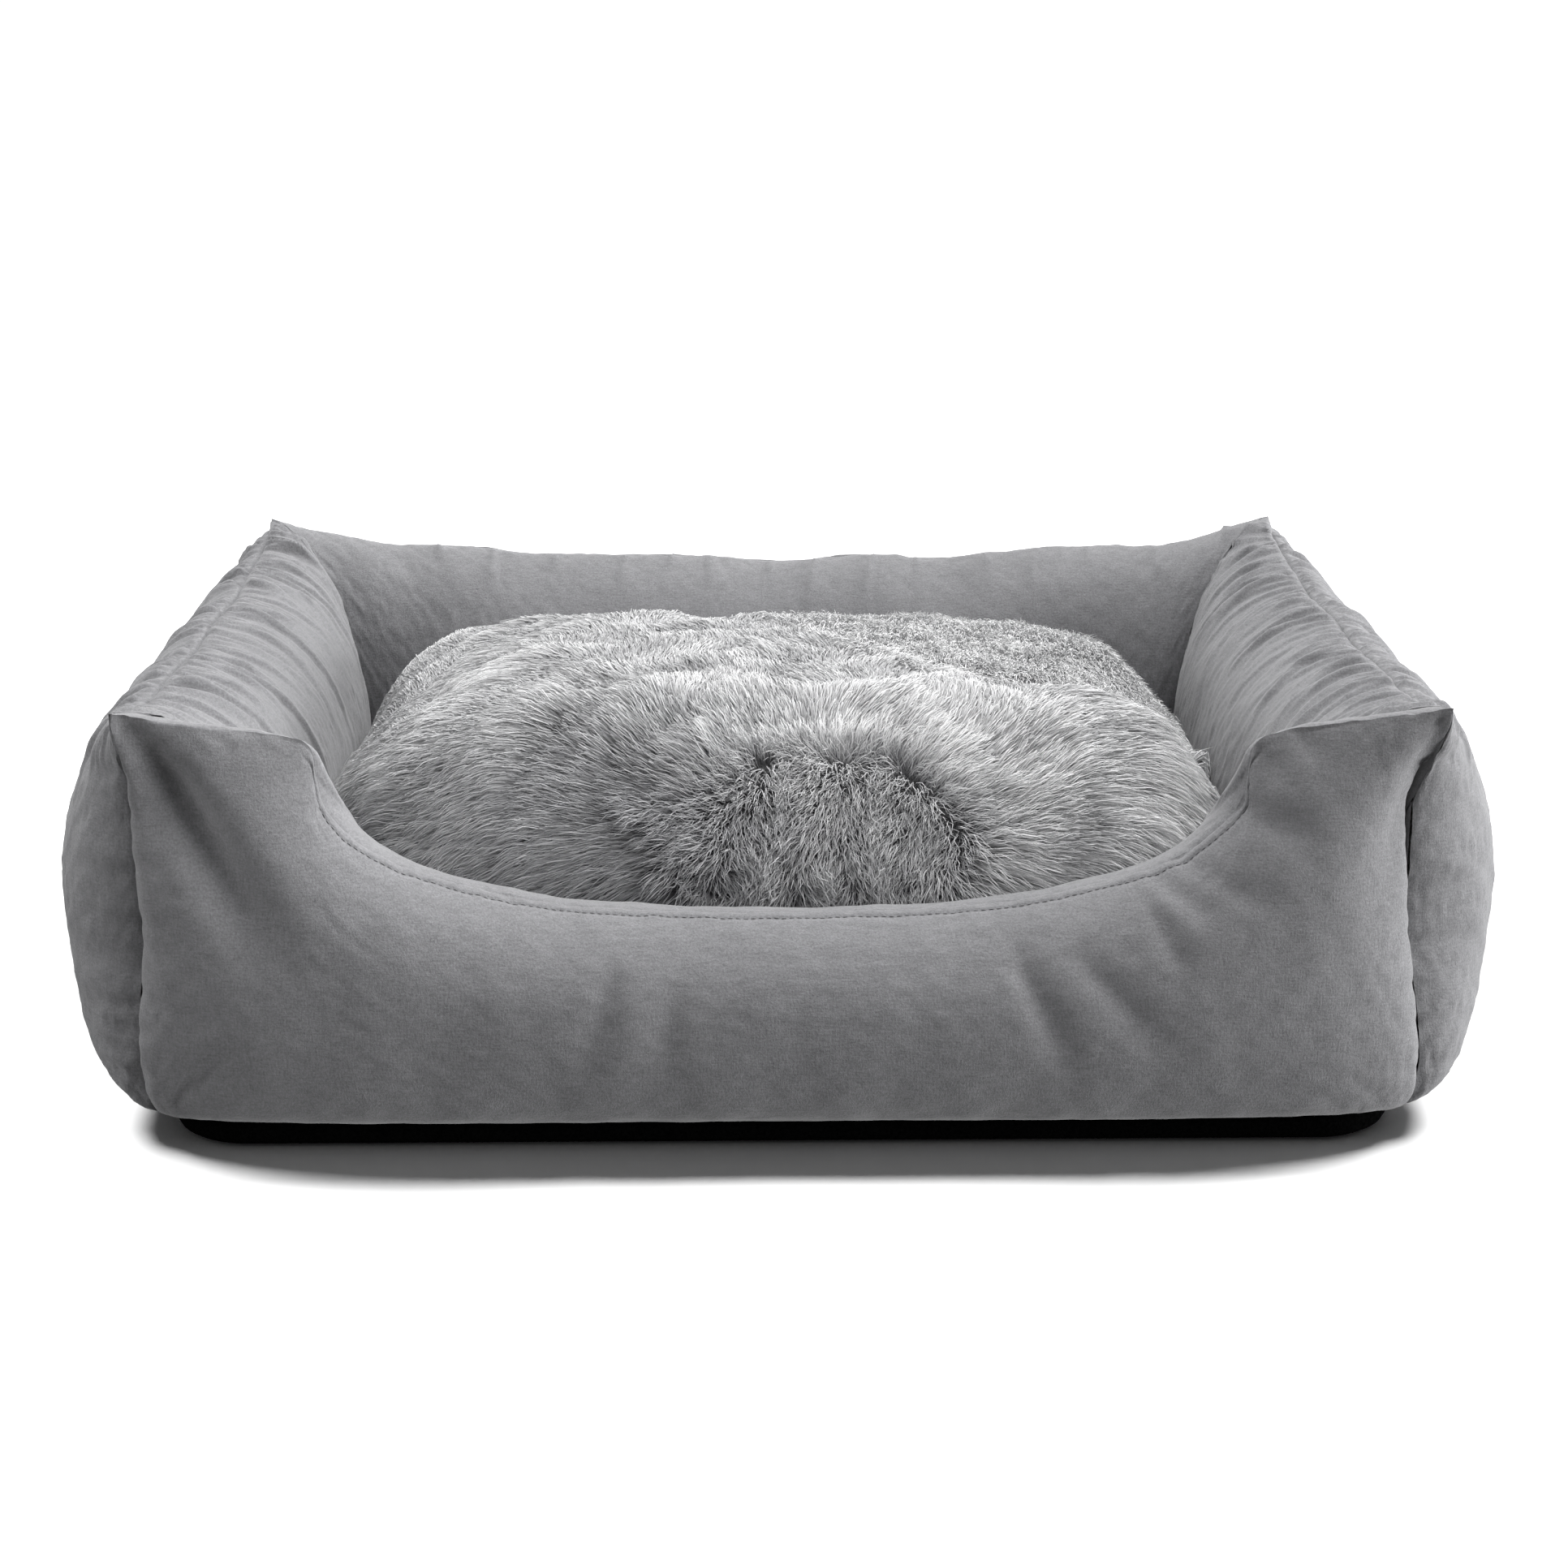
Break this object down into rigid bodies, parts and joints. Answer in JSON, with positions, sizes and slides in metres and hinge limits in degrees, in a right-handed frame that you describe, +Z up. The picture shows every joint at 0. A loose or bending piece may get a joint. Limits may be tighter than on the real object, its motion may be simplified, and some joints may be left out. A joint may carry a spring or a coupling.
{
  "type": "pet cushion bed",
  "caption": "Rectangular stuffed-wall pet bed with a scooped front for the way in, a thin padded base and a loose fur-topped cushion that lifts out.",
  "frame": {"origin": "on the ground under the middle of the bed", "axes": "+X to the right seen from the front, +Y to the rear, +Z up; the scooped front faces -Y"},
  "size_m": [0.8986, 0.6654, 0.27],
  "materials": {
    "base_underside": "black non-slip base cloth",
    "base_pad": "cream foam board",
    "base_floor_panel": "plain grey lining cloth",
    "front_outer_panel": "brushed heather-grey upholstery weave",
    "front_inner_panel": "brushed heather-grey upholstery weave",
    "front_wall_fill": "white polyester wadding",
    "rear_outer_panel": "brushed heather-grey upholstery weave",
    "rear_inner_panel": "brushed heather-grey upholstery weave",
    "rear_wall_fill": "white polyester wadding",
    "left_outer_panel": "brushed heather-grey upholstery weave",
    "left_inner_panel": "brushed heather-grey upholstery weave",
    "left_wall_fill": "white polyester wadding",
    "right_outer_panel": "brushed heather-grey upholstery weave",
    "right_inner_panel": "brushed heather-grey upholstery weave",
    "right_wall_fill": "white polyester wadding",
    "front_left_divider": "plain grey lining cloth",
    "front_right_divider": "plain grey lining cloth",
    "rear_left_divider": "plain grey lining cloth",
    "rear_right_divider": "plain grey lining cloth",
    "cushion_fur_top": "long grey faux fur",
    "cushion_underside": "plain grey lining cloth",
    "cushion_fill": "white polyester wadding",
    "zip_upper_tape": "grey nylon zip",
    "zip_lower_tape": "grey nylon zip",
    "zip_teeth": "grey nylon zip",
    "zip_slider": "cast zinc, nickel plated"
  },
  "bodies": {
    "bed": {"base_underside": "base_underside", "base_pad": "base_pad", "base_floor_panel": "base_floor_panel", "front_outer_panel": "front_outer_panel", "front_inner_panel": "front_inner_panel", "front_wall_fill": "front_wall_fill", "rear_outer_panel": "rear_outer_panel", "rear_inner_panel": "rear_inner_panel", "rear_wall_fill": "rear_wall_fill", "left_outer_panel": "left_outer_panel", "left_inner_panel": "left_inner_panel", "left_wall_fill": "left_wall_fill", "right_outer_panel": "right_outer_panel", "right_inner_panel": "right_inner_panel", "right_wall_fill": "right_wall_fill", "front_left_divider": "front_left_divider", "front_right_divider": "front_right_divider", "rear_left_divider": "rear_left_divider", "rear_right_divider": "rear_right_divider"},
    "cushion": {"cushion_fur_top": "cushion_fur_top", "cushion_underside": "cushion_underside", "cushion_fill": "cushion_fill", "zip_upper_tape": "zip_upper_tape", "zip_lower_tape": "zip_lower_tape", "zip_teeth": "zip_teeth"},
    "zip_slider": {"zip_slider": "zip_slider"}
  },
  "joints": [
    {"name": "cushion_lift", "type": "slide", "parent": "bed", "child": "cushion", "axis": [0, 0, 1], "range_m": [0, 0.3]},
    {"name": "cushion_zip_slide", "type": "slide", "parent": "cushion", "child": "zip_slider", "axis": [1, 0, 0], "range_m": [0, 0.336]}
  ]
}
